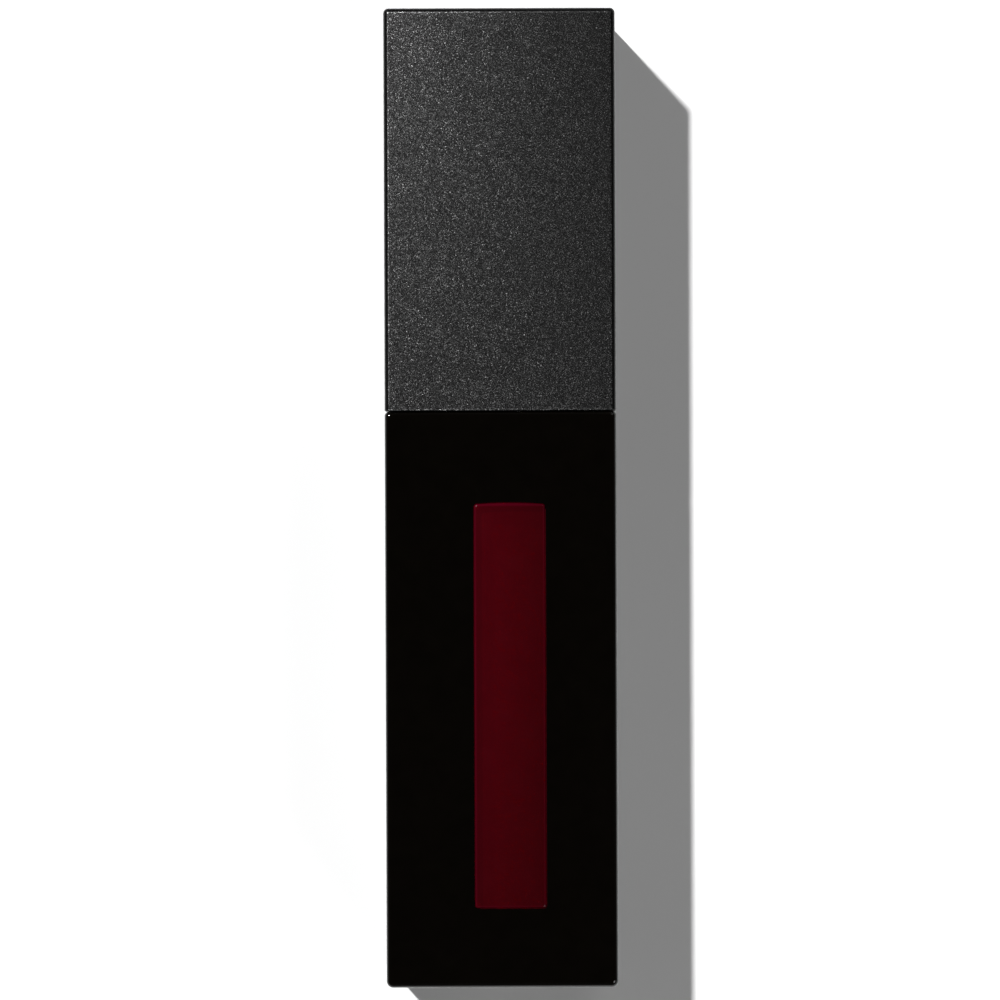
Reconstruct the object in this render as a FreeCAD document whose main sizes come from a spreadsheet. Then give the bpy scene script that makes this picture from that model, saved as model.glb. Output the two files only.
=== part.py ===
import FreeCAD, Part
import os

import Sketcher

# A square liquid-lipstick tube: a gloss sleeve with a window around a clear vial, and a
# square screw cap that carries a doe-foot wand. All lengths are in millimetres.
#
# Every sub-part is drawn upright on the tube's axis: local +Z runs from the base to the
# cap, and local -Y is the front with the window. Its Placement then lays it on its back:
# the base-to-cap direction becomes +Y, the front faces +Z, and the origin is the middle
# of the tube's footprint on the surface it lies on.

DIMENSIONS = {
    # the case from outside
    "case_width": 19.0,
    "sleeve_length": 47.25,
    "seam_gap": 0.1,
    "cap_length": 33.05,
    "edge_radius": 0.42,
    "base_radius": 0.55,
    "sleeve_rim_radius": 0.28,
    "cap_rim_radius": 0.06,
    "shell_wall": 1.2,
    "inner_corner": 0.6,
    "cut_margin": 1.0,
    "press_gap": 0.04,
    # the sleeve's window and the insert in it
    "window_width": 5.95,
    "window_length": 33.25,
    "window_bottom": 6.48,
    "window_offset": 0.7,
    "window_arch": 0.12,
    "window_corner": 0.3,
    "lens_gap": 0.03,
    "lens_sink": 0.06,
    "lens_flange": 0.8,
    "lens_overlap": 0.9,
    "lens_bevel": 0.22,
    # the sleeve's closed end
    "base_thickness": 1.6,
    "ring_height": 1.4,
    "ring_inner": 6.9,
    "ring_outer": 7.7,
    "label_radius": 5.5,
    "label_thickness": 0.12,
    "label_recess": 0.2,
    "label_margin": 0.15,
    # the vial
    "vial_radius": 6.8,
    "vial_floor": 2.2,
    "vial_heel": 0.8,
    "vial_shoulder": 44.4,
    "bore_radius": 4.7,
    "bore_heel": 1.2,
    "cone_above": 0.4,
    "cone_below": 0.8,
    "flange_width": 16.5,
    "flange_height": 1.2,
    "flange_root": 0.3,
    "neck_radius": 4.9,
    "neck_bore": 3.9,
    "land_radius": 5.38,
    "land_top": 47.7,
    "neck_top": 57.5,
    "fill_top": 42.6,
    "fill_gap": 0.04,
    "wand_channel": 2.05,
    "channel_depth": 0.6,
    # the screw thread: the two crests pass each other with a small radial gap
    "thread_pitch": 2.6,
    "thread_turns": 1.75,
    "thread_start": 50.0,
    "thread_height": 0.45,
    "thread_foot": 1.1,
    "thread_tip": 0.5,
    "thread_gap": 0.06,
    "thread_root": 0.2,
    # the collar around the neck
    "collar_top": 47.1,
    "collar_plate": 1.2,
    "collar_skirt": 1.0,
    "collar_gap": 0.05,
    "collar_edge": 0.25,
    # the wiper
    "wiper_flange": 0.6,
    "wiper_inset": 0.05,
    "wiper_gap": 0.02,
    "wiper_wall": 0.55,
    "wiper_lead_in": 0.3,
    "wiper_tube_end": 51.0,
    "wiper_lip_end": 47.4,
    "wiper_lip_height": 0.9,
    "wiper_orifice": 2.0,
    # the seal washer
    "washer_gap": 0.06,
    "washer_thickness": 0.95,
    "washer_radius": 5.25,
    "washer_bore": 1.85,
    "washer_edge": 0.15,
    # the cap shell and the threaded liner in it
    "cap_top_wall": 1.5,
    "cap_rib": 1.2,
    "rib_gap": 0.05,
    "liner_bottom": 48.2,
    "liner_wall": 1.15,
    "liner_plate": 1.4,
    "liner_lead_in": 0.4,
    "fin_thickness": 0.8,
    "socket_top": 66.4,
    "socket_roof": 0.7,
    "socket_wall": 1.2,
    # the wand
    "stem_radius": 1.75,
    "stem_end": 18.4,
    "stem_edge": 0.15,
    "stem_head": 2.2,
    "head_gap": 0.05,
    "head_groove": 0.15,
    "plug_radius": 1.1,
    "plug_length": 4.6,
    "plug_end_gap": 0.1,
    "plug_side_gap": 0.01,
    "tip_end": 7.0,
    "tip_waist": 1.25,
    "tip_radius": 1.86,
    "flock_thickness": 0.24,
    "tip_slant": 4.6,
    "tip_collar": 0.6,
}

HEAD_RINGS = 3
TOLERANCE = 1e-4

# The wand tip's outline, as shares of its radius, its length and its slant. Each dome point
# lies so far out along the radius and so far up the dome.
TIP_DOME = 0.7
TIP_DOME_POINTS = ((0.5, 0.13), (0.85, 0.5))
TIP_SWELL = 1 / 3
TIP_SLANT_REACH = 1.5
TIP_SLANT_DEPTH = 0.45

doc = FreeCAD.newDocument("LipTube")
sheet = doc.addObject("Spreadsheet::Sheet", "Sizes")
for row, (alias, value) in enumerate(DIMENSIONS.items(), start=1):
    sheet.set(f"A{row}", alias)
    sheet.set(f"B{row}", str(value))
    sheet.setAlias(f"B{row}", alias)
doc.recompute()


class Size:
    """A length that knows its value and the expression that binds it to the sheet."""

    def __init__(self, text, value):
        self.text = text
        self.value = value

    def joined(self, sign, other, value):
        return Size(f"({self.text} {sign} {other.text})", value)

    def __add__(self, other):
        other = as_size(other)
        return self.joined("+", other, self.value + other.value)

    def __sub__(self, other):
        other = as_size(other)
        return self.joined("-", other, self.value - other.value)

    def __mul__(self, other):
        other = as_size(other)
        return self.joined("*", other, self.value * other.value)

    def __truediv__(self, other):
        other = as_size(other)
        return self.joined("/", other, self.value / other.value)

    def __neg__(self):
        return Size(f"(0 - {self.text})", -self.value)


def as_size(number):
    return number if isinstance(number, Size) else Size(str(number), float(number))


def size(alias):
    return Size(f"Sizes.{alias}", DIMENSIONS[alias])


# Heights and radii that several sub-parts share.
half_width = size("case_width") / 2
half_inside = half_width - size("shell_wall")
cap_bottom = size("sleeve_length") + size("seam_gap")
cap_top = cap_bottom + size("cap_length")
vial_bottom = size("base_thickness")
bore_bottom = vial_bottom + size("vial_floor")
crest_radius = size("neck_radius") + size("thread_height")
liner_crest = crest_radius + size("thread_gap")
liner_bore = liner_crest + size("thread_height")
liner_radius = liner_bore + size("liner_wall")
wiper_top = size("neck_top") + size("wiper_flange")
washer_bottom = wiper_top + size("washer_gap")
washer_top = washer_bottom + size("washer_thickness")
liner_ceiling = washer_top + size("washer_gap")
liner_roof = liner_ceiling + size("liner_plate")
socket_roof_top = size("socket_top") + size("socket_roof")


def bind(item, prop, length):
    """Set a property from a Size, now and through its expression."""
    item.setExpression(prop, as_size(length).text)


def new_body(label):
    body = doc.addObject("PartDesign::Body", label)
    body.Label = label
    return body


def new_sketch(body, name, role="XY_Plane", height=None):
    """A sketch on one of the body's own origin planes, raised by height along its normal."""
    plane = [item for item in body.Origin.OriginFeatures if item.Role == role][0]
    sketch = body.newObject("Sketcher::SketchObject", f"{body.Name}_{name}")
    sketch.AttachmentSupport = [(plane, "")]
    sketch.MapMode = "FlatFace"
    if height is not None:
        bind(sketch, "AttachmentOffset.Base.z", height)
    return sketch


def pin_point(sketch, line, end, corner):
    """Fix one end of an edge at a corner given as two Sizes."""
    for kind, length in zip(("DistanceX", "DistanceY"), corner):
        length = as_size(length)
        index = sketch.addConstraint(
            Sketcher.Constraint(kind, -1, 1, line, end, length.value)
        )
        sketch.setExpression(f"Constraints[{index}]", length.text)


def draw_outline(sketch, corners):
    """A closed outline of straight edges through the corners."""
    first = sketch.GeometryCount
    points = [FreeCAD.Vector(*(as_size(length).value for length in corner)) for corner in corners]
    count = len(points)
    for index, point in enumerate(points):
        sketch.addGeometry(Part.LineSegment(point, points[(index + 1) % count]), False)
    for index in range(count):
        following = first + (index + 1) % count
        sketch.addConstraint(Sketcher.Constraint("Coincident", first + index, 2, following, 1))
    for index, corner in enumerate(corners):
        pin_point(sketch, first + index, 1, corner)


def draw_box(sketch, low_x, low_y, high_x, high_y):
    draw_outline(sketch, [(low_x, low_y), (high_x, low_y), (high_x, high_y), (low_x, high_y)])


def draw_square(sketch, half):
    draw_box(sketch, -half, -half, half, half)


def draw_circle(sketch, radius):
    """A circle about the sketch's origin."""
    geometry = Part.Circle(FreeCAD.Vector(), FreeCAD.Vector(0, 0, 1), radius.value)
    index = sketch.addGeometry(geometry, False)
    sketch.addConstraint(Sketcher.Constraint("Coincident", index, 3, -1, 1))
    radius_index = sketch.addConstraint(Sketcher.Constraint("Radius", index, radius.value))
    sketch.setExpression(f"Constraints[{radius_index}]", radius.text)


def draw_arched_box(sketch, low_x, low_y, high_x, high_y, arch):
    """A box whose top edge is a shallow arc that rises by arch."""
    corners = [(low_x, high_y), (low_x, low_y), (high_x, low_y), (high_x, high_y)]
    points = [FreeCAD.Vector(*(length.value for length in corner)) for corner in corners]
    for start, end in zip(points, points[1:]):
        sketch.addGeometry(Part.LineSegment(start, end), False)
    middle = (points[0] + points[3]) / 2 + FreeCAD.Vector(0, arch.value, 0)
    sketch.addGeometry(Part.Arc(points[3], middle, points[0]), False)
    for line, corner in enumerate(corners[:3]):
        pin_point(sketch, line, 1, corner)
    pin_point(sketch, 2, 2, corners[3])
    sketch.addConstraint(Sketcher.Constraint("Coincident", 0, 2, 1, 1))
    sketch.addConstraint(Sketcher.Constraint("Coincident", 1, 2, 2, 1))
    sketch.addConstraint(Sketcher.Constraint("Coincident", 3, 1, 2, 2))
    sketch.addConstraint(Sketcher.Constraint("Coincident", 3, 2, 0, 1))
    half = (high_x - low_x) / 2
    radius = (half * half + arch * arch) / (arch * 2)
    index = sketch.addConstraint(Sketcher.Constraint("Radius", 3, radius.value))
    sketch.setExpression(f"Constraints[{index}]", radius.text)


def add_feature(body, kind, name, sketch):
    feature = body.newObject(f"PartDesign::{kind}", f"{body.Name}_{name}")
    feature.Profile = sketch
    return feature


def add_pad(body, name, sketch, length, backwards=False):
    feature = add_feature(body, "Pad", name, sketch)
    bind(feature, "Length", length)
    feature.Reversed = backwards
    doc.recompute()
    return feature


def add_pocket(body, name, sketch, length, backwards=False):
    """A pocket that has to take material away: one that points off the solid is an error."""
    before = body.Shape.Volume
    feature = add_feature(body, "Pocket", name, sketch)
    bind(feature, "Length", length)
    feature.Reversed = backwards
    doc.recompute()
    if body.Shape.Volume >= before:
        raise RuntimeError(f"{feature.Name} cuts nothing")
    return feature


def add_revolution(body, name, corners):
    """Turn an outline of (radius, height) corners about the tube's axis."""
    sketch = new_sketch(body, f"{name}_outline", "XZ_Plane")
    draw_outline(sketch, corners)
    feature = add_feature(body, "Revolution", name, sketch)
    feature.ReferenceAxis = (sketch, ["V_Axis"])
    feature.Angle = 360
    doc.recompute()
    return feature


def add_thread(body, name, root, crest, start):
    """A right-hand helical ridge that grows from root to crest, first at height start."""
    foot = size("thread_foot") / 2
    tip = size("thread_tip") / 2
    sketch = new_sketch(body, f"{name}_outline", "XZ_Plane")
    draw_outline(
        sketch,
        [(root, start - foot), (crest, start - tip), (crest, start + tip), (root, start + foot)],
    )
    feature = add_feature(body, "AdditiveHelix", name, sketch)
    feature.ReferenceAxis = (sketch, ["V_Axis"])
    feature.Mode = "pitch-turns-angle"
    bind(feature, "Pitch", size("thread_pitch"))
    bind(feature, "Turns", size("thread_turns"))
    feature.LeftHanded = False
    doc.recompute()
    return feature


def is_close(number, length):
    return abs(number - length.value) < TOLERANCE


def is_circle(edge):
    return isinstance(edge.Curve, Part.Circle)


def is_along(edge, axis):
    """True for a straight edge parallel to axis (0, 1 or 2)."""
    if not isinstance(edge.Curve, Part.Line):
        return False
    return abs(abs(edge.Curve.Direction[axis]) - 1) < TOLERANCE


def is_level(edge, height):
    """True for an edge that lies wholly at the height."""
    return is_close(edge.BoundBox.ZMin, height) and is_close(edge.BoundBox.ZMax, height)


def reach(edge):
    """How far the edge's middle is from the tube's axis, along X or Y."""
    middle = edge.valueAt((edge.FirstParameter + edge.LastParameter) / 2)
    return max(abs(middle.x), abs(middle.y))


def add_dressup(body, kind, name, prop, amount, wanted):
    """A fillet or chamfer on the edges of the body's tip that the test wants."""
    base = body.Tip
    edges = [
        f"Edge{index}"
        for index, edge in enumerate(base.Shape.Edges, start=1)
        if not edge.Degenerated and wanted(edge)
    ]
    if not edges:
        raise RuntimeError(f"{body.Name} {name} finds no edges")
    feature = body.newObject(f"PartDesign::{kind}", f"{body.Name}_{name}")
    feature.Base = (base, edges)
    bind(feature, prop, amount)
    doc.recompute()
    return feature


def add_fillet(body, name, radius, wanted):
    return add_dressup(body, "Fillet", name, "Radius", radius, wanted)


def add_chamfer(body, name, width, wanted):
    return add_dressup(body, "Chamfer", name, "Size", width, wanted)


def lay_down(item):
    """Lay an upright sub-part on its back, centred on its footprint."""
    item.Placement = FreeCAD.Placement(
        FreeCAD.Vector(0, -cap_top.value / 2, half_width.value),
        FreeCAD.Rotation(FreeCAD.Vector(1, 0, 0), -90),
    )
    bind(item, ".Placement.Base.y", -(cap_top / 2))
    bind(item, ".Placement.Base.z", half_width)


def window_box():
    """The window's low x, low z, high x and high z on the front face."""
    middle = size("window_offset")
    half = size("window_width") / 2
    bottom = size("window_bottom")
    return middle - half, bottom, middle + half, bottom + size("window_length")


def make_outer_sleeve():
    body = new_body("outer_sleeve")
    block = new_sketch(body, "block")
    draw_square(block, half_width)
    add_pad(body, "block_pad", block, size("sleeve_length"))
    add_fillet(body, "corners", size("edge_radius"), lambda edge: is_along(edge, 2))
    add_fillet(body, "base_edges", size("base_radius"), lambda edge: is_level(edge, as_size(0)))
    add_fillet(
        body,
        "rim",
        size("sleeve_rim_radius"),
        lambda edge: is_level(edge, size("sleeve_length")),
    )

    cavity = new_sketch(body, "cavity", height=size("sleeve_length"))
    draw_square(cavity, half_inside)
    add_pocket(body, "cavity_cut", cavity, size("sleeve_length") - size("base_thickness"))
    add_fillet(
        body,
        "cavity_corners",
        size("inner_corner"),
        lambda edge: is_along(edge, 2) and is_close(reach(edge), half_inside),
    )

    ring = new_sketch(body, "ring", height=size("base_thickness"))
    draw_circle(ring, size("ring_outer"))
    draw_circle(ring, size("ring_inner"))
    add_pad(body, "ring_pad", ring, size("ring_height"))

    margin = size("cut_margin")
    window = new_sketch(body, "window", "XZ_Plane", height=half_width + margin)
    draw_arched_box(window, *window_box(), size("window_arch"))
    add_pocket(body, "window_cut", window, size("shell_wall") + margin * 2)
    add_fillet(
        body,
        "window_corners",
        size("window_corner"),
        lambda edge: is_along(edge, 1) and is_close(edge.Length, size("shell_wall")),
    )

    recess = new_sketch(body, "label_recess")
    draw_circle(recess, size("label_radius") + size("label_margin"))
    add_pocket(body, "label_recess_cut", recess, size("label_recess"), backwards=True)
    return body


def make_window_lens():
    """The tinted insert: a pane that fills the window and a flange glued behind it."""
    body = new_body("window_lens")
    low, bottom, high, top = window_box()
    overlap = size("lens_overlap")
    flange = new_sketch(body, "flange", "XZ_Plane", height=half_inside - size("lens_flange"))
    draw_box(flange, low - overlap, bottom - overlap, high + overlap, top + overlap)
    add_pad(body, "flange_pad", flange, size("lens_flange"))
    add_fillet(body, "flange_corners", size("inner_corner"), lambda edge: is_along(edge, 1))

    gap = size("lens_gap")
    pane = new_sketch(body, "pane", "XZ_Plane", height=half_inside)
    draw_arched_box(pane, low + gap, bottom + gap, high - gap, top - gap, size("window_arch"))
    add_pad(body, "pane_pad", pane, size("shell_wall") - size("lens_sink"))
    pane_front = half_width - size("lens_sink")
    add_fillet(
        body,
        "pane_corners",
        size("window_corner") - gap,
        lambda edge: is_along(edge, 1) and is_close(-edge.BoundBox.YMin, pane_front),
    )
    add_fillet(
        body,
        "pane_bevel",
        size("lens_bevel"),
        lambda edge: is_close(-edge.BoundBox.YMin, pane_front)
        and is_close(-edge.BoundBox.YMax, pane_front),
    )
    return body


def make_inner_vial():
    body = new_body("inner_vial")
    wall = size("vial_radius")
    shoulder = size("vial_shoulder")
    bore = size("bore_radius")
    heel = size("vial_heel")
    bore_heel = size("bore_heel")
    add_revolution(
        body,
        "tube",
        [
            (0, vial_bottom),
            (wall - heel, vial_bottom),
            (wall, vial_bottom + heel),
            (wall, shoulder),
            (size("land_radius"), shoulder),
            (size("land_radius"), size("land_top")),
            (size("neck_radius"), size("land_top")),
            (size("neck_radius"), size("neck_top")),
            (size("neck_bore"), size("neck_top")),
            (size("neck_bore"), shoulder + size("cone_above")),
            (bore, shoulder - size("cone_below")),
            (bore, bore_bottom + bore_heel),
            (bore - bore_heel, bore_bottom),
            (0, bore_bottom),
        ],
    )
    flange = new_sketch(body, "flange", height=shoulder - size("flange_height"))
    draw_square(flange, size("flange_width") / 2)
    draw_circle(flange, wall - size("flange_root"))
    add_pad(body, "flange_pad", flange, size("flange_height"))
    add_fillet(
        body,
        "flange_corners",
        size("inner_corner"),
        lambda edge: is_along(edge, 2) and is_close(reach(edge), size("flange_width") / 2),
    )
    root = size("neck_radius") - size("thread_root")
    add_thread(body, "thread", root, crest_radius, size("thread_start"))
    return body


def make_lip_colour():
    """The filling, with an open channel where the wand stands in it."""
    body = new_body("lip_colour")
    radius = size("bore_radius") - size("fill_gap")
    floor = bore_bottom + size("fill_gap")
    heel = size("bore_heel")
    channel = size("wand_channel")
    channel_floor = size("tip_end") - size("channel_depth")
    add_revolution(
        body,
        "filling",
        [
            (0, floor),
            (radius - heel, floor),
            (radius, floor + heel),
            (radius, size("fill_top")),
            (channel, size("fill_top")),
            (channel, channel_floor),
            (0, channel_floor),
        ],
    )
    return body


def make_wiper():
    body = new_body("wiper")
    outer = size("neck_bore") - size("wiper_gap")
    inner = outer - size("wiper_wall")
    flange = size("neck_radius") - size("wiper_inset")
    orifice = size("wiper_orifice")
    lip = orifice + size("wiper_wall")
    tube_end = size("wiper_tube_end")
    lip_end = size("wiper_lip_end")
    lip_top = lip_end + size("wiper_lip_height")
    lead_in = size("wiper_lead_in")
    add_revolution(
        body,
        "sleeve",
        [
            (inner + lead_in, wiper_top),
            (flange, wiper_top),
            (flange, size("neck_top")),
            (outer, size("neck_top")),
            (outer, tube_end),
            (lip, lip_top),
            (lip, lip_end),
            (orifice, lip_end),
            (orifice, lip_top),
            (inner, tube_end),
            (inner, wiper_top - lead_in),
        ],
    )
    return body


def make_shoulder_collar():
    """A square black cap with a skirt, which closes the sleeve around the neck."""
    body = new_body("shoulder_collar")
    half = half_inside - size("press_gap")
    bottom = size("vial_shoulder")
    top = size("collar_top")
    plate = new_sketch(body, "plate", height=bottom)
    draw_square(plate, half)
    add_pad(body, "plate_pad", plate, top - bottom)
    add_fillet(body, "corners", size("inner_corner"), lambda edge: is_along(edge, 2))
    add_fillet(body, "top_edges", size("collar_edge"), lambda edge: is_level(edge, top))
    hollow = new_sketch(body, "hollow", height=bottom)
    draw_square(hollow, half - size("collar_skirt"))
    add_pocket(body, "hollow_cut", hollow, top - bottom - size("collar_plate"), backwards=True)
    hole = new_sketch(body, "neck_hole", height=top)
    draw_circle(hole, size("land_radius") + size("collar_gap"))
    add_pocket(body, "neck_hole_cut", hole, top - bottom)
    return body


def make_shade_label():
    """A plain round sticker in the recess under the base."""
    label = doc.addObject("Part::Cylinder", "shade_label_disc")
    label.Label = "shade_label"
    bind(label, "Radius", size("label_radius"))
    bind(label, "Height", size("label_thickness"))
    return label


def make_seal_washer():
    body = new_body("seal_washer")
    ring = new_sketch(body, "ring", height=washer_bottom)
    draw_circle(ring, size("washer_radius"))
    draw_circle(ring, size("washer_bore"))
    add_pad(body, "ring_pad", ring, size("washer_thickness"))
    add_fillet(
        body,
        "edges",
        size("washer_edge"),
        lambda edge: is_circle(edge) and is_close(edge.Curve.Radius, size("washer_radius")),
    )
    return body


def make_outer_cap():
    """The square cap shell, with crossed ribs above the liner that it grips."""
    body = new_body("outer_cap")
    block = new_sketch(body, "block", height=cap_bottom)
    draw_square(block, half_width)
    add_pad(body, "block_pad", block, size("cap_length"))
    add_fillet(
        body,
        "edges",
        size("edge_radius"),
        lambda edge: is_along(edge, 2) or is_level(edge, cap_top),
    )
    add_fillet(body, "rim", size("cap_rim_radius"), lambda edge: is_level(edge, cap_bottom))

    cavity = new_sketch(body, "cavity", height=cap_bottom)
    draw_square(cavity, half_inside)
    depth = size("cap_length") - size("cap_top_wall")
    add_pocket(body, "cavity_cut", cavity, depth, backwards=True)
    add_fillet(
        body,
        "cavity_corners",
        size("inner_corner"),
        lambda edge: is_along(edge, 2) and is_close(reach(edge), half_inside),
    )

    rib_bottom = socket_roof_top + size("rib_gap")
    rib_length = cap_top - size("cap_top_wall") - rib_bottom
    half_rib = size("cap_rib") / 2
    across = new_sketch(body, "rib_across", height=rib_bottom)
    draw_box(across, -half_inside, -half_rib, half_inside, half_rib)
    add_pad(body, "rib_across_pad", across, rib_length)
    along = new_sketch(body, "rib_along", height=rib_bottom)
    draw_box(along, -half_rib, -half_inside, half_rib, half_inside)
    add_pad(body, "rib_along_pad", along, rib_length)
    return body


def make_inner_cap():
    """The threaded liner: a round screw shell held in the square cap by plates and fins."""
    body = new_body("inner_cap")
    bottom = size("liner_bottom")
    plate = size("liner_plate")
    half_plate = half_inside - size("press_gap")
    half_fin = size("fin_thickness") / 2

    shell = new_sketch(body, "shell", height=bottom)
    draw_circle(shell, liner_radius)
    add_pad(body, "shell_pad", shell, liner_roof - bottom)
    for name, height in (("lower", bottom), ("upper", liner_roof - plate)):
        sketch = new_sketch(body, f"{name}_plate", height=height)
        draw_square(sketch, half_plate)
        add_pad(body, f"{name}_plate_pad", sketch, plate)
    fins = [
        ("middle_fin_x", (-half_plate, -half_fin, half_plate, half_fin)),
        ("middle_fin_y", (-half_fin, -half_plate, half_fin, half_plate)),
    ]
    for name, box in fins:
        sketch = new_sketch(body, name, height=bottom)
        draw_box(sketch, *box)
        add_pad(body, f"{name}_pad", sketch, liner_roof - bottom)
    add_fillet(
        body,
        "plate_corners",
        size("inner_corner"),
        lambda edge: is_along(edge, 2)
        and is_close(abs(edge.CenterOfMass.x), half_plate)
        and is_close(abs(edge.CenterOfMass.y), half_plate),
    )

    tower = new_sketch(body, "tower", height=liner_roof)
    draw_circle(tower, size("stem_head") + size("socket_wall"))
    add_pad(body, "tower_pad", tower, socket_roof_top - liner_roof)

    screw = new_sketch(body, "screw_bore", height=bottom)
    draw_circle(screw, liner_bore)
    add_pocket(body, "screw_bore_cut", screw, liner_ceiling - bottom, backwards=True)
    socket = new_sketch(body, "socket", height=bottom)
    draw_circle(socket, size("stem_head"))
    add_pocket(body, "socket_cut", socket, size("socket_top") - bottom, backwards=True)
    add_chamfer(
        body,
        "lead_in",
        size("liner_lead_in"),
        lambda edge: is_level(edge, bottom) and is_circle(edge),
    )
    root = liner_bore + size("thread_root")
    start = size("thread_start") + size("thread_pitch") / 2
    add_thread(body, "thread", root, liner_crest, start)
    return body


def make_wand_stem():
    """The rod: a ringed head pressed into the liner and a socket for the soft tip."""
    body = new_body("wand_stem")
    radius = size("stem_radius")
    end = size("stem_end")
    head = size("stem_head")
    edge = size("stem_edge")
    head_bottom = liner_ceiling + size("head_gap")
    socket_top = end + size("plug_length") + size("plug_end_gap")
    corners = [
        (size("plug_radius"), end),
        (radius - edge, end),
        (radius, end + edge),
        (radius, head_bottom),
    ]
    # rings on the head, each with a shallow groove above it
    groove = size("head_groove")
    ring_pitch = (size("socket_top") - head_bottom) / HEAD_RINGS
    for ring in range(HEAD_RINGS):
        low = head_bottom + ring_pitch * ring
        corners += [
            (head, low),
            (head, low + ring_pitch / 2),
            (head - groove, low + ring_pitch / 2),
            (head - groove, low + ring_pitch),
        ]
    corners += [(0, size("socket_top")), (0, socket_top), (size("plug_radius"), socket_top)]
    add_revolution(body, "rod", corners)
    return body


def add_doe_foot(body, skin):
    """A tip that swells from its waist, is domed at its end and is cut on a slant in front.

    It is drawn inside the flocked tip by the skin thickness; a skin of 0 is the outside.
    """
    radius = size("tip_radius") - skin
    waist = size("tip_waist") - skin
    end = size("tip_end") + skin
    top = size("stem_end")
    swell = top - (top - size("tip_end")) * TIP_SWELL
    dome = radius * TIP_DOME
    dome_points = [(radius * outward, end + dome * upward) for outward, upward in TIP_DOME_POINTS]
    add_revolution(
        body,
        "tip",
        [
            (0, end),
            *dome_points,
            (radius, end + dome),
            (radius, swell),
            (waist, top - size("tip_collar")),
            (waist, top),
            (0, top),
        ],
    )
    slant = new_sketch(body, "slant", "YZ_Plane", height=-(radius * 2))
    outside = -(radius * 2)
    below = size("tip_end") - radius
    slant_top = size("tip_end") + size("tip_slant") * TIP_SLANT_REACH
    slant_foot = size("tip_end") - size("tip_collar")
    behind = skin + radius * TIP_SLANT_DEPTH
    draw_outline(
        slant,
        [
            (outside, below),
            (outside, slant_top + radius),
            (skin - radius, slant_top),
            (behind, slant_foot),
            (behind, below),
        ],
    )
    add_pocket(body, "slant_cut", slant, radius * 4, backwards=True)


def make_applicator_core():
    body = new_body("applicator_core")
    add_doe_foot(body, size("flock_thickness"))
    plug = new_sketch(body, "plug", height=size("stem_end"))
    draw_circle(plug, size("plug_radius") - size("plug_side_gap"))
    add_pad(body, "plug_pad", plug, size("plug_length"))
    return body


def make_flock_coat(core):
    """The flock: the tip's outer form less the flexible core inside it."""
    outside = new_body("flock_outside")
    add_doe_foot(outside, as_size(0))
    coat = doc.addObject("Part::Cut", "flock_coat")
    coat.Base = outside
    coat.Tool = core
    coat.Label = "flock_coat"
    return outside, coat


def make_all():
    """Build every sub-part upright, then lay them all down."""
    core = make_applicator_core()
    outside, coat = make_flock_coat(core)
    label = make_shade_label()
    upright = [
        make_outer_sleeve(),
        make_window_lens(),
        make_inner_vial(),
        make_lip_colour(),
        make_wiper(),
        make_shoulder_collar(),
        make_seal_washer(),
        make_outer_cap(),
        make_inner_cap(),
        make_wand_stem(),
        core,
        label,
    ]
    for item in upright + [outside]:
        lay_down(item)
    label_bottom = size("label_recess") - size("label_thickness")
    label.Placement.Base.y = (label_bottom - cap_top / 2).value
    bind(label, ".Placement.Base.y", label_bottom - cap_top / 2)
    doc.recompute()
    return upright + [coat]


def check_and_write(parts):
    """Stop on any failed object or bad shape, then write one STEP file for each sub-part."""
    for item in doc.Objects:
        if {"Invalid", "Error"} & set(item.State):
            raise RuntimeError(f"{item.Name} failed: {item.State}")
    for item in parts:
        if item.Shape.isNull() or not item.Shape.isValid() or len(item.Shape.Solids) != 1:
            raise RuntimeError(f"{item.Label} is not one valid solid")
    os.makedirs("parts", exist_ok=True)
    for item in parts:
        item.Shape.exportStep(f"parts/{item.Label}.step")
        box = item.Shape.BoundBox
        print(
            f"{item.Label:18s} volume {item.Shape.Volume:9.2f} mm3  "
            f"y {box.YMin:7.2f} to {box.YMax:7.2f}  z {box.ZMin:6.2f} to {box.ZMax:6.2f}"
        )


check_and_write(make_all())
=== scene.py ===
import math
import random

import bpy
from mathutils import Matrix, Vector, noise
from mathutils.bvhtree import BVHTree


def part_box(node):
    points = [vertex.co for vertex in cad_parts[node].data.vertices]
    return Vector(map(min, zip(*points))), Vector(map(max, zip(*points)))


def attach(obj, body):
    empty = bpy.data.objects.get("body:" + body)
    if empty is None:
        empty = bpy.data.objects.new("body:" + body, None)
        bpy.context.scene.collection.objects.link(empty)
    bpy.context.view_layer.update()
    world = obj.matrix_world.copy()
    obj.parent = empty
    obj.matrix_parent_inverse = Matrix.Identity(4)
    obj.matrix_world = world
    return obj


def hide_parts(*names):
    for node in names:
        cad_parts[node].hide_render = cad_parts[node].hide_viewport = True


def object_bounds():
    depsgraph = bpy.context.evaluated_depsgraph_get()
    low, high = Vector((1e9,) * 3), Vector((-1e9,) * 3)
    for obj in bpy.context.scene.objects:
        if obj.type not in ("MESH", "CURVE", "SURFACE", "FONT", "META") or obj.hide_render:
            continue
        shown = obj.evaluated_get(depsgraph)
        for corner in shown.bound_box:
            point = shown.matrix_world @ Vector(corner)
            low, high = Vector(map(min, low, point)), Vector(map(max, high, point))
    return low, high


# The looks of a square liquid-lipstick tube that lies on its back: +Y runs from the base to
# the cap, +X is to the right seen from the front, and +Z comes out of the front face.
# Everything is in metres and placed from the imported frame.

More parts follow.
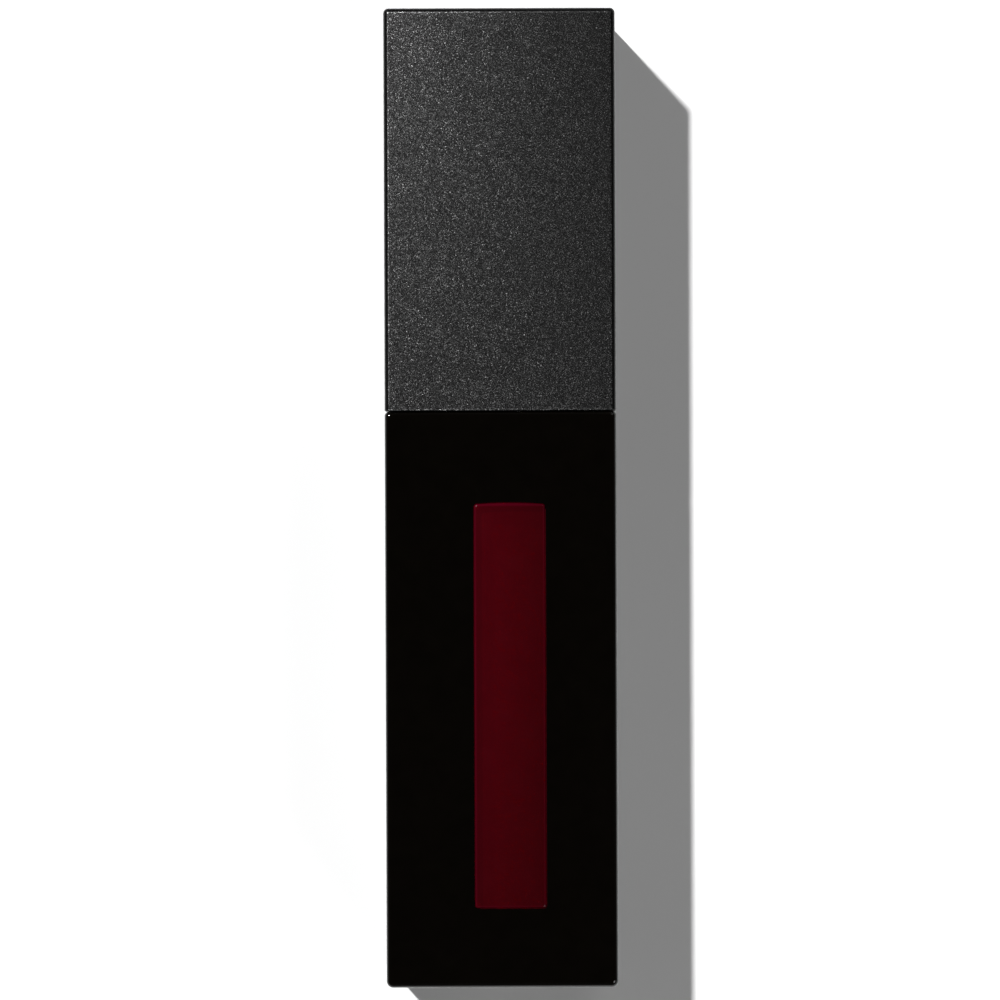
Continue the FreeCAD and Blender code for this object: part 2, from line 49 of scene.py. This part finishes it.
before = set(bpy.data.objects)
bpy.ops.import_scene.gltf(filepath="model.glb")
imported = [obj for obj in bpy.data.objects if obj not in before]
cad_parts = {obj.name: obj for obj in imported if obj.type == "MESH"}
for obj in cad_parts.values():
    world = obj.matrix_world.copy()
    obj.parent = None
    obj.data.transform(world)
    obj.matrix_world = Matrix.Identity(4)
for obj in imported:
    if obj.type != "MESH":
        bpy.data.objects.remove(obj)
CAD_LOW, CAD_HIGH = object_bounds()
MM = 0.001

AXIS_HEIGHT = (CAD_LOW.z + CAD_HIGH.z) / 2
TUBE_AXIS = Vector((0, 0, AXIS_HEIGHT))


# ---------------------------------------------------------------- material helpers


def rgb(red, green, blue):
    return (red, green, blue, 1.0)


class Graph:
    """A material with one Principled shader, and short calls that add nodes behind it."""

    def __init__(self, name):
        self.material = bpy.data.materials.new(name)
        self.material.use_nodes = True
        self.tree = self.material.node_tree
        self.shader = self.tree.nodes["Principled BSDF"]
        self.place = self.add("ShaderNodeTexCoord").outputs["Object"]

    def add(self, kind, inputs=None, **settings):
        node = self.tree.nodes.new(kind)
        for key, value in settings.items():
            setattr(node, key, value)
        for key, value in (inputs or {}).items():
            self.give(node.inputs[key], value)
        return node

    def give(self, socket, value):
        """Put a number, colour or another node's output into a socket."""
        if isinstance(value, bpy.types.NodeSocket):
            self.tree.links.new(value, socket)
        else:
            socket.default_value = value

    def set(self, **values):
        """Set the shader's own sockets, named with underscores for spaces."""
        for key, value in values.items():
            self.give(self.shader.inputs[key.replace("_", " ")], value)
        return self

    def math(self, operation, first, second=0.0):
        return self.add("ShaderNodeMath", {0: first, 1: second}, operation=operation).outputs[0]

    def vector(self, operation, first, second):
        """Join two vectors; SCALE takes a number as its second."""
        key = "Scale" if operation == "SCALE" else 1
        inputs = {0: first, key: second}
        return self.add("ShaderNodeVectorMath", inputs, operation=operation).outputs[0]

    def split(self, vector):
        """The vector's X, Y and Z."""
        return self.add("ShaderNodeSeparateXYZ", {"Vector": vector}).outputs

    def stretch(self, scale):
        """The object's own coordinates, scaled along the tube to draw a pattern out."""
        inputs = {"Vector": self.place, "Scale": (1, scale, 1)}
        return self.add("ShaderNodeMapping", inputs).outputs["Vector"]

    def noise(self, size, detail=2, roughness=0.5, place=None):
        """Soft noise whose blobs are about size metres across, from 0 to 1."""
        inputs = {
            "Vector": place or self.place,
            "Scale": 1 / size,
            "Detail": detail,
            "Roughness": roughness,
        }
        return self.add("ShaderNodeTexNoise", inputs).outputs["Fac"]

    def cells(self, size):
        """Cells of about size metres: their random colours and the distance to their hearts."""
        inputs = {"Vector": self.place, "Scale": 1 / size}
        outputs = self.add("ShaderNodeTexVoronoi", inputs).outputs
        return outputs["Color"], outputs["Distance"]

    def ramp(self, value, stops):
        """Map a value through (place, colour) stops; a plain number is a grey."""
        node = self.add("ShaderNodeValToRGB", {"Fac": value})
        band = node.color_ramp
        while len(band.elements) < len(stops):
            band.elements.new(0.5)
        for element, (position, colour) in zip(band.elements, stops):
            element.position = position
            element.color = colour if isinstance(colour, tuple) else rgb(colour, colour, colour)
        return node.outputs["Color"]

    def drift(self, value, first, last, start=0.3, end=0.75):
        """A colour or grey that drifts from first to last as the value passes start to end."""
        return self.ramp(value, [(start, first), (end, last)])

    def fade(self, value, start, end, first, last):
        """A number that runs straight from first to last, outside any 0 to 1."""
        reach = {"From Min": start, "From Max": end, "To Min": first, "To Max": last}
        return self.add("ShaderNodeMapRange", {"Value": value, **reach}).outputs["Result"]

    def blend(self, share, first, second):
        """The first colour, replaced by the second as the share goes from 0 to 1."""
        node = self.add("ShaderNodeMix", data_type="RGBA", blend_type="MIX")
        for key, value in (("Factor", share), ("A", first), ("B", second)):
            self.give(node.inputs[key], value)
        return node.outputs["Result"]

    def bump(self, height, strength, distance):
        inputs = {"Height": height, "Strength": strength, "Distance": distance}
        return self.add("ShaderNodeBump", inputs).outputs["Normal"]

    def let_light_through(self):
        """Lamps reach what is behind this clear piece."""
        path = self.add("ShaderNodeLightPath")
        clear = self.add("ShaderNodeBsdfTransparent")
        mix = self.add("ShaderNodeMixShader")
        output = self.tree.nodes["Material Output"]
        self.tree.links.new(path.outputs["Is Shadow Ray"], mix.inputs[0])
        self.tree.links.new(self.shader.outputs[0], mix.inputs[1])
        self.tree.links.new(clear.outputs[0], mix.inputs[2])
        self.tree.links.new(mix.outputs[0], output.inputs["Surface"])
        return self


# ---------------------------------------------------------------- materials

# The cap's sparkle lacquer. The flakes' brightness is given as (share of flakes, reflectance).
FLAKE_SIZE = 0.036 * MM
FLAKE_TILT = 0.245
FLAKE_BRIGHTNESS = [(0.0, 0.0004), (0.41, 0.0021), (0.72, 0.0098), (0.91, 0.0405), (1.0, 0.158)]
SIDE_CROWN = 0.085
END_CROWN = 0.002
CROWN_GROWTH = (0.42, 1.12)
# Painted shade: the flakes are darkened to this share on the cap's rounded edges.
PAINTED_EDGE_SHADE = 0.07
# Painted highlight lines: the flakes are brightened just inside the rounded edges and along the
# cap's lower rim.
EDGE_HIGHLIGHT_GAIN = 2.6
RIM_HIGHLIGHT_GAIN = 3.8
RIM_HIGHLIGHT_WIDTH = 0.22 * MM

# The window's insert, seen through the opening in the sleeve.
LENS_OVERLAP = 0.93 * MM
# Painted highlight line round the insert's visible edge: full within the first distance, gone by
# the second.
LENS_RIM_HIGHLIGHT = (0.10 * MM, 0.24 * MM)
PLASTIC_IOR = 1.49


def gloss_black():
    """Deep black lacquer with a faint orange peel and barely visible handling haze."""
    g = Graph("gloss_black")
    haze = g.drift(g.noise(3 * MM, detail=5, roughness=0.6), 0.045, 0.075, end=0.8)
    cloud = g.noise(1.5 * MM, detail=4)
    tint = g.drift(cloud, rgb(0.0011, 0.0008, 0.0005), rgb(0.0015, 0.0011, 0.0007))
    peel = g.bump(g.noise(0.9 * MM, detail=1), strength=0.05, distance=0.02 * MM)
    g.set(Base_Color=tint, Roughness=haze, Normal=peel, IOR=1.46, Specular_IOR_Level=0.4)
    return g.material


def satin_black(name, level=0.006):
    """Moulded satin black plastic with a fine spark texture."""
    g = Graph(name)
    tint = g.drift(g.noise(2.5 * MM, detail=4), level * 0.7, level * 1.5)
    grain = g.bump(g.noise(0.12 * MM), strength=0.15, distance=0.01 * MM)
    rough = g.drift(g.noise(1.2 * MM, detail=4), 0.26, 0.42, end=0.8)
    return g.set(Base_Color=tint, Roughness=rough, Normal=grain).material


def flake_gain(g, normal, low):
    """How strongly the flakes show.

    They are painted darker over a rounded edge as shade, brighter just before it as a painted
    highlight line, and brighter along the cap's lower rim as a painted highlight line.
    """
    sides = [g.math("ABSOLUTE", side) for side in g.split(normal)]
    flatness = g.math("MAXIMUM", g.math("MAXIMUM", sides[0], sides[1]), sides[2])
    # Painted shade on the rounded edges.
    edge_shade = g.drift(flatness, PAINTED_EDGE_SHADE, 1.0, start=0.955, end=0.993)
    # Painted highlight line just inside the rounded edges.
    edge = g.fade(flatness, 0.990, 0.9975, EDGE_HIGHLIGHT_GAIN, 1.0)
    # Painted highlight line along the cap's lower rim.
    rim = g.fade(g.split(g.place)[1], low.y, low.y + RIM_HIGHLIGHT_WIDTH, RIM_HIGHLIGHT_GAIN, 1.0)
    cloud = g.drift(g.noise(2.4 * MM, detail=5, roughness=0.6), 0.90, 1.10)
    return g.math("MULTIPLY", g.math("MULTIPLY", cloud, edge_shade), g.math("MULTIPLY", rim, edge))


def sparkle_charcoal():
    """Black lacquer full of tiny metal flakes, each tilted its own way.

    The cap's faces are very slightly crowned, most at the closed end, so that the sparkle
    falls off across them.
    """
    g = Graph("sparkle_charcoal")
    low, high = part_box("outer_cap")
    chance = g.cells(FLAKE_SIZE)[0]
    chances = g.add("ShaderNodeSeparateColor", {"Color": chance}).outputs
    normal = g.add("ShaderNodeTexCoord").outputs["Normal"]
    # The third chance doesn't turn a flake of the front face, so there its brightness and
    # its tilt have nothing to do with each other.
    flake = g.ramp(chances[2], FLAKE_BRIGHTNESS)
    tone = g.vector("SCALE", flake, flake_gain(g, normal, low))

    half = (high - low) / 2
    lean = Vector((SIDE_CROWN / half.x, END_CROWN / half.y, SIDE_CROWN / half.z))
    crown = g.vector("MULTIPLY", g.vector("SUBTRACT", g.place, (low + high) / 2), lean)
    growth = g.fade(g.split(g.place)[1], low.y, high.y, *CROWN_GROWTH)
    crown = g.vector("SCALE", crown, growth)
    tilt = g.vector("SCALE", g.vector("SUBTRACT", chance, (0.5, 0.5, 0.5)), FLAKE_TILT)
    facing = g.vector("ADD", normal, g.vector("ADD", crown, tilt))
    world = g.add("ShaderNodeVectorTransform", {"Vector": facing}, vector_type="NORMAL")
    world.convert_from = "OBJECT"
    world.convert_to = "WORLD"
    rough = g.drift(chances[1], 0.30, 0.36, start=0.0, end=1.0)
    g.set(Base_Color=tone, Metallic=0.9, Roughness=rough, Normal=world.outputs[0])
    return g.set(Coat_Weight=0.40, Coat_Roughness=0.25).material


def clear_plastic(name, tint):
    """Clear moulded plastic with faint flow lines."""
    g = Graph(name)
    flow = g.noise(1.8 * MM, place=g.stretch(0.25))
    shade = g.drift(flow, rgb(*(part * 0.97 for part in tint[:3])), tint, end=0.7)
    lines = g.bump(flow, strength=0.04, distance=0.03 * MM)
    g.set(Base_Color=shade, Roughness=0.02, Normal=lines)
    g.set(Transmission_Weight=1.0, IOR=PLASTIC_IOR)
    return g.let_light_through().material


def shade_window():
    """The window's insert: clear plastic tinted evenly with the dark red behind it.

    A thin brighter line is painted round its edge as a highlight, and painted shade darkens
    it towards the right side and towards the base end.
    """
    g = Graph("shade_window")
    low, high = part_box("window_lens")
    across, along, _ = g.split(g.place)
    gaps = []
    for place, start, end in ((across, low.x, high.x), (along, low.y, high.y)):
        offset = g.math("ABSOLUTE", g.math("SUBTRACT", place, (start + end) / 2))
        gaps.append(g.math("SUBTRACT", (end - start) / 2 - LENS_OVERLAP, offset))
    # Painted highlight line round the insert's edge.
    rim_highlight = g.fade(g.math("MINIMUM", *gaps), *LENS_RIM_HIGHLIGHT, 1.0, 0.0)
    cloud = g.noise(1.4 * MM, detail=4)
    inside = g.drift(cloud, rgb(0.098, 0.0014, 0.0062), rgb(0.107, 0.0017, 0.0070))
    tone = g.blend(rim_highlight, inside, rgb(0.165, 0.0010, 0.0140))
    # Painted shade: the insert's colour darkens towards the right side and towards the base end,
    # as light falls from the upper left.
    side_shade = g.fade(across, low.x, high.x, 1.09, 0.66)
    end_shade = g.fade(along, low.y, high.y, 0.82, 1.045)
    shaded = g.vector("SCALE", tone, g.math("MULTIPLY", side_shade, end_shade))
    rough = g.drift(cloud, 0.05, 0.10, end=0.8)
    g.set(Base_Color=shaded, Roughness=rough, IOR=PLASTIC_IOR, Transmission_Weight=0.66)
    return g.let_light_through().material


def red_liquid():
    """The dark red lip colour: smooth and wet, a little streaky where pigment settles."""
    g = Graph("red_liquid")
    streaks = g.noise(2.2 * MM, detail=4, roughness=0.55, place=g.stretch(0.35))
    tint = g.drift(streaks, rgb(0.050, 0.0006, 0.0026), rgb(0.072, 0.0010, 0.0046))
    rough = g.drift(g.noise(1.1 * MM), 0.16, 0.26, end=0.8)
    waves = g.bump(streaks, strength=0.08, distance=0.03 * MM)
    return g.set(Base_Color=tint, Roughness=rough, Normal=waves).material


def milky_plastic():
    """Natural soft polyethylene: milky and waxy, with colour smeared inside its bore.

    The smears are thickest at the lip, where the wand is wiped.
    """
    g = Graph("milky_plastic")
    low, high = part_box("wiper")
    cloud = g.noise(1.4 * MM, detail=3)
    clean = g.drift(cloud, rgb(0.66, 0.63, 0.60), rgb(0.80, 0.78, 0.75))
    across, along, up = g.split(g.place)
    squares = [g.math("POWER", way, 2.0) for way in (across, g.math("SUBTRACT", up, AXIS_HEIGHT))]
    radius = g.math("SQRT", g.math("ADD", *squares))
    bore = g.fade(radius, 3.38 * MM, 3.5 * MM, 1.0, 0.0)
    depth = g.fade(along, low.y, high.y, 0.42, -0.02)
    streaks = g.noise(0.9 * MM, detail=4, roughness=0.6, place=g.stretch(0.2))
    smear = g.drift(g.math("ADD", streaks, depth), 0.0, 1.0, start=0.55, end=0.68)
    tint = g.blend(g.math("MULTIPLY", smear, bore), clean, rgb(0.085, 0.0020, 0.0070))
    rough = g.drift(g.noise(0.5 * MM, detail=3), 0.34, 0.5, end=0.8)
    waxy = g.bump(cloud, strength=0.1, distance=0.02 * MM)
    g.set(Base_Color=tint, Roughness=rough, Normal=waxy)
    return g.set(Subsurface_Weight=0.2, Subsurface_Scale=0.8 * MM).material


def white_foam():
    """Fine closed-cell foam of the sealing liner."""
    g = Graph("white_foam")
    distance = g.cells(0.11 * MM)[1]
    tint = g.drift(distance, rgb(0.78, 0.77, 0.75), rgb(0.60, 0.59, 0.57), start=0.1, end=0.6)
    pores = g.bump(distance, strength=0.35, distance=0.02 * MM)
    return g.set(Base_Color=tint, Roughness=0.75, Normal=pores).material


def label_film():
    """A blank satin sticker with a fine paper tooth."""
    g = Graph("label_film")
    tint = g.drift(g.noise(1.5 * MM, detail=4), rgb(0.52, 0.50, 0.48), rgb(0.60, 0.58, 0.56))
    tooth = g.bump(g.noise(0.09 * MM, detail=3), strength=0.2, distance=0.01 * MM)
    return g.set(Base_Color=tint, Roughness=0.42, Normal=tooth).material


def stem_black():
    """The wand's satin rod, with thin smears of colour that the wiper leaves near the tip."""
    g = Graph("stem_black")
    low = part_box("wand_stem")[0]
    nearness = g.fade(g.split(g.place)[1], low.y, low.y + 26 * MM, 1.0, 0.0)
    streaks = g.noise(1.3 * MM, detail=4, roughness=0.6, place=g.stretch(0.22))
    height = g.math("ADD", streaks, g.math("MULTIPLY", nearness, 0.42))
    smear = g.drift(height, 0.0, 1.0, start=0.66, end=0.84)
    tint = g.blend(smear, rgb(0.010, 0.010, 0.010), rgb(0.060, 0.0010, 0.0040))
    rough = g.drift(smear, 0.34, 0.16, start=0.0, end=1.0)
    thick = g.bump(smear, strength=0.3, distance=0.04 * MM)
    return g.set(Base_Color=tint, Roughness=rough, Normal=thick).material


def soft_core():
    """The elastomer core of the tip, seen only where it plugs into the stem."""
    g = Graph("soft_core")
    cloud = g.noise(0.8 * MM, detail=3)
    tint = g.drift(cloud, rgb(0.30, 0.10, 0.10), rgb(0.42, 0.17, 0.16), end=0.8)
    grain = g.bump(g.noise(0.2 * MM), strength=0.15, distance=0.02 * MM)
    return g.set(Base_Color=tint, Roughness=0.5, Normal=grain).material


def wet_flock():
    """Short nylon flock soaked in the colour: clumped, dark and glistening."""
    g = Graph("wet_flock")
    clumps = g.noise(0.45 * MM, detail=4, roughness=0.65)
    colours = (rgb(0.040, 0.0006, 0.0024), rgb(0.115, 0.0022, 0.0070))
    tint = g.drift(clumps, *colours, start=0.25, end=0.7)
    rough = g.drift(clumps, 0.22, 0.42, end=0.8)
    nap = g.bump(g.noise(0.12 * MM, detail=3), strength=0.5, distance=0.05 * MM)
    g.set(Base_Color=tint, Roughness=rough, Normal=nap)
    return g.set(Sheen_Weight=0.06, Sheen_Roughness=0.4).material


def pale_floor():
    """The plain white surface, with a barely visible tooth."""
    g = Graph("pale_floor")
    tint = g.drift(g.noise(40 * MM, detail=3), 0.86, 0.88, end=0.7)
    return g.set(Base_Color=tint, Roughness=0.85, Specular_IOR_Level=0.1).material


def dress(node, material):
    """Give a CAD node its material."""
    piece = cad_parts[node]
    piece.data.materials.clear()
    piece.data.materials.append(material)


DRESSED = {
    "outer_sleeve": gloss_black(),
    "shoulder_collar": satin_black("collar_black"),
    "window_lens": shade_window(),
    "inner_vial": clear_plastic("clear_vial", rgb(0.96, 0.97, 0.98)),
    "lip_colour": red_liquid(),
    "wiper": milky_plastic(),
    "shade_label": label_film(),
    "seal_washer": white_foam(),
    "outer_cap": sparkle_charcoal(),
    "inner_cap": satin_black("liner_black", 0.012),
    "wand_stem": stem_black(),
    "applicator_core": soft_core(),
}
for node_name, node_material in DRESSED.items():
    dress(node_name, node_material)


# ---------------------------------------------------------------- the flocked tip

SEED = 11
SKIN_VOXEL = 0.085 * MM
SKIN_RELAX = 6
SKIN_SMOOTHING = 0.5
SKIN_SHRINK = 0.06 * MM
MATTING_SIZE = 0.5 * MM
MATTING_DEPTH = 0.025 * MM
FIBRE_COUNT = 5200
FIBRE_LENGTHS = (0.16 * MM, 0.30 * MM)
FIBRE_WIDTH = 0.026 * MM
FIBRE_KNEE = 0.55
KNEE_WIDTH = 0.8
FIBRE_SIDES = 3
COMBED = Vector((0, -1, 0))
# How much each pull counts in a fibre's direction.
STANDING = 0.55
COMBING = 0.75
CLUMPING = 0.5
STRAYING = 0.22
# A fibre that stands off the skin by less than this is lifted by so much.
LEAST_STANDING = 0.15
LIFT = 0.4
# How much each pull counts in the bend above a fibre's knee, and the whole bend.
TIP_COMBING = 0.5
TIP_SINKING = 0.25
TIP_STRAYING = 0.1
TIP_BEND = 0.6


def soft_skin(node):
    """The CAD node's form as a fine, even mesh with its hard edges worn round."""
    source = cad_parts[node]
    rough = bpy.data.objects.new("rough_skin", source.data.copy())
    bpy.context.scene.collection.objects.link(rough)
    rough.matrix_world = source.matrix_world
    remesh = rough.modifiers.new("even", "REMESH")
    remesh.mode = "VOXEL"
    remesh.voxel_size = SKIN_VOXEL
    smooth = rough.modifiers.new("worn", "SMOOTH")
    smooth.factor = SKIN_SMOOTHING
    smooth.iterations = SKIN_RELAX
    bpy.context.view_layer.update()
    worn = rough.evaluated_get(bpy.context.evaluated_depsgraph_get())
    mesh = bpy.data.meshes.new_from_object(worn)
    mesh.transform(source.matrix_world)
    bpy.data.objects.remove(rough)
    return mesh


def outer_spots(mesh, count, dice):
    """Points spread evenly over the mesh's outside, each with its normal."""
    tree = BVHTree.FromPolygons(
        [vertex.co for vertex in mesh.vertices], [tuple(face.vertices) for face in mesh.polygons]
    )
    clear = 0.01 * MM
    outside = [
        face
        for face in mesh.polygons
        if tree.ray_cast(face.center + face.normal * clear, face.normal)[0] is None
    ]
    areas = [face.area for face in outside]
    spots = []
    for face in dice.choices(outside, areas, k=count):
        corners = [mesh.vertices[index].co for index in face.vertices[:3]]
        first, second = sorted((dice.random(), dice.random()))
        spot = corners[0] * first + corners[1] * (second - first) + corners[2] * (1 - second)
        spots.append((spot, face.normal.copy()))
    return spots


def add_fibre(points, faces, root, direction, bend, length):
    """A three-sided tapering hair with a knee about halfway, closed at both ends."""
    side = direction.orthogonal().normalized()
    other = direction.cross(side)
    knee = root + direction * length * FIBRE_KNEE
    tip = knee + (direction + bend).normalized() * length * (1 - FIBRE_KNEE)
    start = len(points)
    for centre, scale in ((root, 1.0), (knee, KNEE_WIDTH)):
        for step in range(FIBRE_SIDES):
            angle = 2 * math.pi * step / FIBRE_SIDES
            spoke = side * math.cos(angle) + other * math.sin(angle)
            points.append(centre + spoke * FIBRE_WIDTH / 2 * scale)
    points.append(tip)
    knee_start = start + FIBRE_SIDES
    top = knee_start + FIBRE_SIDES
    faces.append(tuple(reversed(range(start, knee_start))))
    for step in range(FIBRE_SIDES):
        following = (step + 1) % FIBRE_SIDES
        faces.append((start + step, start + following, knee_start + following, knee_start + step))
        faces.append((knee_start + step, knee_start + following, top))


def make_flocked_tip():
    """The doe-foot's coat: a matted skin with short wet fibres combed toward the tip's end.

    The fibres lie over because the wiper drags them that way each time the wand is pulled.
    """
    dice = random.Random(SEED)
    noise.seed_set(SEED)  # or noise_vector would start from the clock
    skin = soft_skin("flock_coat")
    matting = 1 / MATTING_SIZE
    for vertex, normal in [(v, v.normal.copy()) for v in skin.vertices]:
        vertex.co += normal * (noise.noise(vertex.co * matting) * MATTING_DEPTH)
    spots = outer_spots(skin, FIBRE_COUNT, dice)
    points = [vertex.co.copy() for vertex in skin.vertices]
    faces = [tuple(face.vertices) for face in skin.polygons]
    for spot, normal in spots:
        clump = noise.noise_vector(spot * matting)
        stray = Vector([dice.uniform(-1, 1) for _ in range(3)])
        pull = normal * STANDING + COMBED * COMBING + clump * CLUMPING + stray * STRAYING
        direction = pull.normalized()
        if direction.dot(normal) < LEAST_STANDING:
            direction = (direction + normal * LIFT).normalized()
        root = spot - normal * SKIN_SHRINK
        bend = (COMBED * TIP_COMBING - normal * TIP_SINKING + stray * TIP_STRAYING) * TIP_BEND
        add_fibre(points, faces, root, direction, bend, dice.uniform(*FIBRE_LENGTHS))
    mesh = bpy.data.meshes.new("flocked_tip")
    mesh.from_pydata(points, [], faces)
    mesh.validate()
    mesh.materials.append(wet_flock())
    tip = bpy.data.objects.new("flocked_tip", mesh)
    bpy.context.scene.collection.objects.link(tip)
    for face in mesh.polygons:
        face.use_smooth = True
    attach(tip, "cap")
    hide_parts("flock_coat")


make_flocked_tip()


# ---------------------------------------------------------------- stage, light and camera

FLOOR_HALF = 1.5
FLOOR_GAP = 0.02 * MM

# A small flash to the upper left throws the crisp shadow, and two soft lamps fill it. Each
# has a name, a place, a width and a power in watts.
LAMPS = (
    ("key", (-0.994, 1.107, 2.80), 100 * MM, 123.0),
    ("fill_upper_right", (0.60, 0.60, 0.85), 500 * MM, 1.0),
    ("fill_lower_right", (0.60, -0.60, 0.85), 500 * MM, 3.4),
)

ROOM_LOW = 0.11
ROOM_OVERHEAD = 0.010
ROOM_HIGH_AT = 0.95
BACKDROP = 0.86

CAMERA_DISTANCE = 0.55
VIEW_WIDTH = 82.03 * MM
VIEW_CENTRE = (-0.06 * MM, -0.185 * MM)
CAMERA_LEAN = -0.22
CAMERA_RANGE = (0.01, 10)


def make_floor():
    half = FLOOR_HALF
    mesh = bpy.data.meshes.new("floor")
    corners = [(-half, -half, 0), (half, -half, 0), (half, half, 0), (-half, half, 0)]
    mesh.from_pydata(corners, [], [(0, 1, 2, 3)])
    floor = bpy.data.objects.new("floor", mesh)
    bpy.context.scene.collection.objects.link(floor)
    floor.location.z = CAD_LOW.z - FLOOR_GAP
    mesh.materials.append(pale_floor())


def make_lamp(name, place, size, power):
    """A round lamp that faces the tube's middle."""
    lamp = bpy.data.lights.new(name, "AREA")
    lamp.shape = "DISK"
    lamp.size = size
    lamp.energy = power
    light = bpy.data.objects.new(name, lamp)
    bpy.context.scene.collection.objects.link(light)
    light.location = place
    light.rotation_mode = "QUATERNION"
    light.rotation_quaternion = (Vector(place) - TUBE_AXIS).to_track_quat("Z", "Y")
    light.visible_camera = False


def make_room():
    """A dim studio room, darkest overhead so that gloss stays deep, with a pale backdrop."""
    world = bpy.data.worlds.new("room")
    bpy.context.scene.world = world
    world.use_nodes = True
    tree = world.node_tree
    place = tree.nodes.new("ShaderNodeTexCoord")
    parts = tree.nodes.new("ShaderNodeSeparateXYZ")
    ramp = tree.nodes.new("ShaderNodeValToRGB")
    path = tree.nodes.new("ShaderNodeLightPath")
    seen = tree.nodes.new("ShaderNodeMix")
    seen.data_type = "RGBA"
    tree.links.new(place.outputs["Generated"], parts.inputs[0])
    tree.links.new(parts.outputs["Z"], ramp.inputs["Fac"])
    stops = ((0.0, ROOM_LOW), (ROOM_HIGH_AT, ROOM_OVERHEAD))
    for element, (position, level) in zip(ramp.color_ramp.elements, stops):
        element.position = position
        element.color = rgb(level, level, level)
    tree.links.new(path.outputs["Is Camera Ray"], seen.inputs["Factor"])
    tree.links.new(ramp.outputs["Color"], seen.inputs["A"])
    seen.inputs["B"].default_value = rgb(BACKDROP, BACKDROP, BACKDROP)
    tree.links.new(seen.outputs["Result"], tree.nodes["Background"].inputs["Color"])


def make_camera():
    """Straight above the tube, with the long axis upright and a slight lean."""
    camera_data = bpy.data.cameras.new("camera")
    camera = bpy.data.objects.new("camera", camera_data)
    bpy.context.scene.collection.objects.link(camera)
    camera_data.lens = camera_data.sensor_width * CAMERA_DISTANCE / VIEW_WIDTH
    camera_data.clip_start, camera_data.clip_end = CAMERA_RANGE
    camera.location = (*VIEW_CENTRE, CAD_HIGH.z + CAMERA_DISTANCE)
    camera.rotation_euler = (0, 0, math.radians(CAMERA_LEAN))
    bpy.context.scene.camera = camera


make_floor()
for lamp in LAMPS:
    make_lamp(*lamp)
make_room()
make_camera()
bpy.context.scene.view_settings.view_transform = "Standard"
